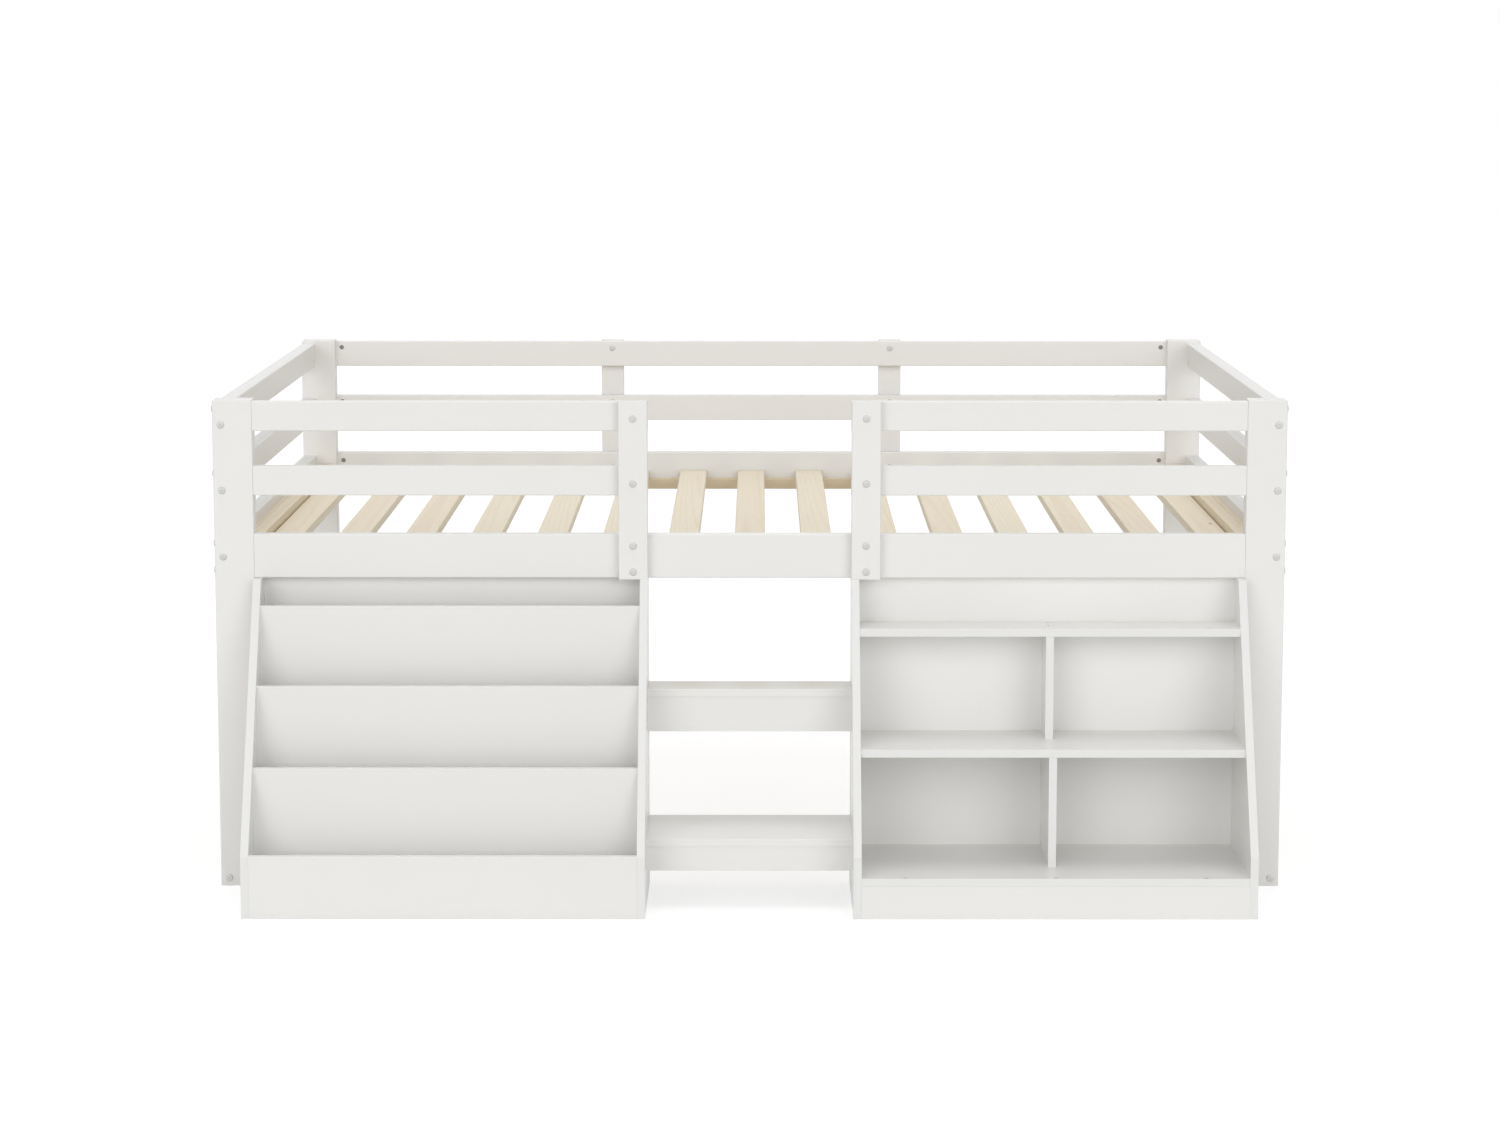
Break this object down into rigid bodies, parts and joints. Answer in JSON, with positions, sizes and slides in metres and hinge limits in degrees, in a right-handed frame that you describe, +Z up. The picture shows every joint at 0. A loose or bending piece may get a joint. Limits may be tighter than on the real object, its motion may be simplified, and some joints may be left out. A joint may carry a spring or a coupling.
{
  "type": "childrens loft bed",
  "caption": "Low loft bed with guard rails and a slatted deck, a book display and a cubby cabinet under its front rail, and steps between them.",
  "frame": {"origin": "on the floor, in the middle of the whole footprint, cabinets and rear posts included", "axes": "+X to the right along the bed's length seen from the front, +Y to the back of the bed, +Z up"},
  "size_m": [2.023, 1.742, 0.932],
  "materials": {
    "painted_pine": "sprayed off-white paint on planed pine",
    "painted_board": "sprayed off-white paint on fibreboard",
    "painted_hardboard": "off-white lacquer on hardboard",
    "pine": "bare planed pine",
    "beech": "bare turned beech",
    "steel": "bright zinc plate",
    "dark_steel": "black phosphate"
  },
  "bodies": {
    "root": {"barrel_nuts": "dark_steel", "bottom_shelf": "painted_board", "cabinet_screws": "steel", "cubby_back_panel": "painted_hardboard", "cubby_inner_panel": "painted_board", "cubby_outer_panel": "painted_board", "display_back_panel": "painted_hardboard", "display_inner_panel": "painted_board", "display_kick_board": "painted_board", "display_outer_panel": "painted_board", "dowels": "beech", "front_bed_rail": "painted_pine", "front_cleat": "pine", "front_left_leg": "painted_pine", "front_left_lower_guard": "painted_pine", "front_left_post": "painted_pine", "front_left_upper_guard": "painted_pine", "front_right_leg": "painted_pine", "front_right_lower_guard": "painted_pine", "front_right_post": "painted_pine", "front_right_upper_guard": "painted_pine", "left_end_bed_rail": "painted_pine", "left_end_cleat": "pine", "left_end_lower_guard": "painted_pine", "left_end_stretcher": "painted_pine", "left_end_upper_guard": "painted_pine", "leg_face_bolts": "steel", "leg_side_bolts": "steel", "lower_divider": "painted_board", "lower_riser": "painted_board", "lower_tread": "painted_board", "middle_shelf": "painted_board", "plinth": "painted_board", "pocket_board_1": "painted_board", "pocket_board_2": "painted_board", "pocket_board_3": "painted_board", "pocket_floor_1": "painted_board", "pocket_floor_2": "painted_board", "pocket_floor_3": "painted_board", "pocket_floor_4": "painted_board", "post_bolts": "steel", "rear_bed_rail": "painted_pine", "rear_cleat": "pine", "rear_left_leg": "painted_pine", "rear_left_post": "painted_pine", "rear_lower_guard": "painted_pine", "rear_right_leg": "painted_pine", "rear_right_post": "painted_pine", "rear_upper_guard": "painted_pine", "right_end_bed_rail": "painted_pine", "right_end_cleat": "pine", "right_end_lower_guard": "painted_pine", "right_end_stretcher": "painted_pine", "right_end_upper_guard": "painted_pine", "slats_left": "pine", "slats_right": "pine", "top_shelf": "painted_board", "upper_divider": "painted_board", "upper_riser": "painted_board", "upper_tread": "painted_board"}
  },
  "joints": []
}
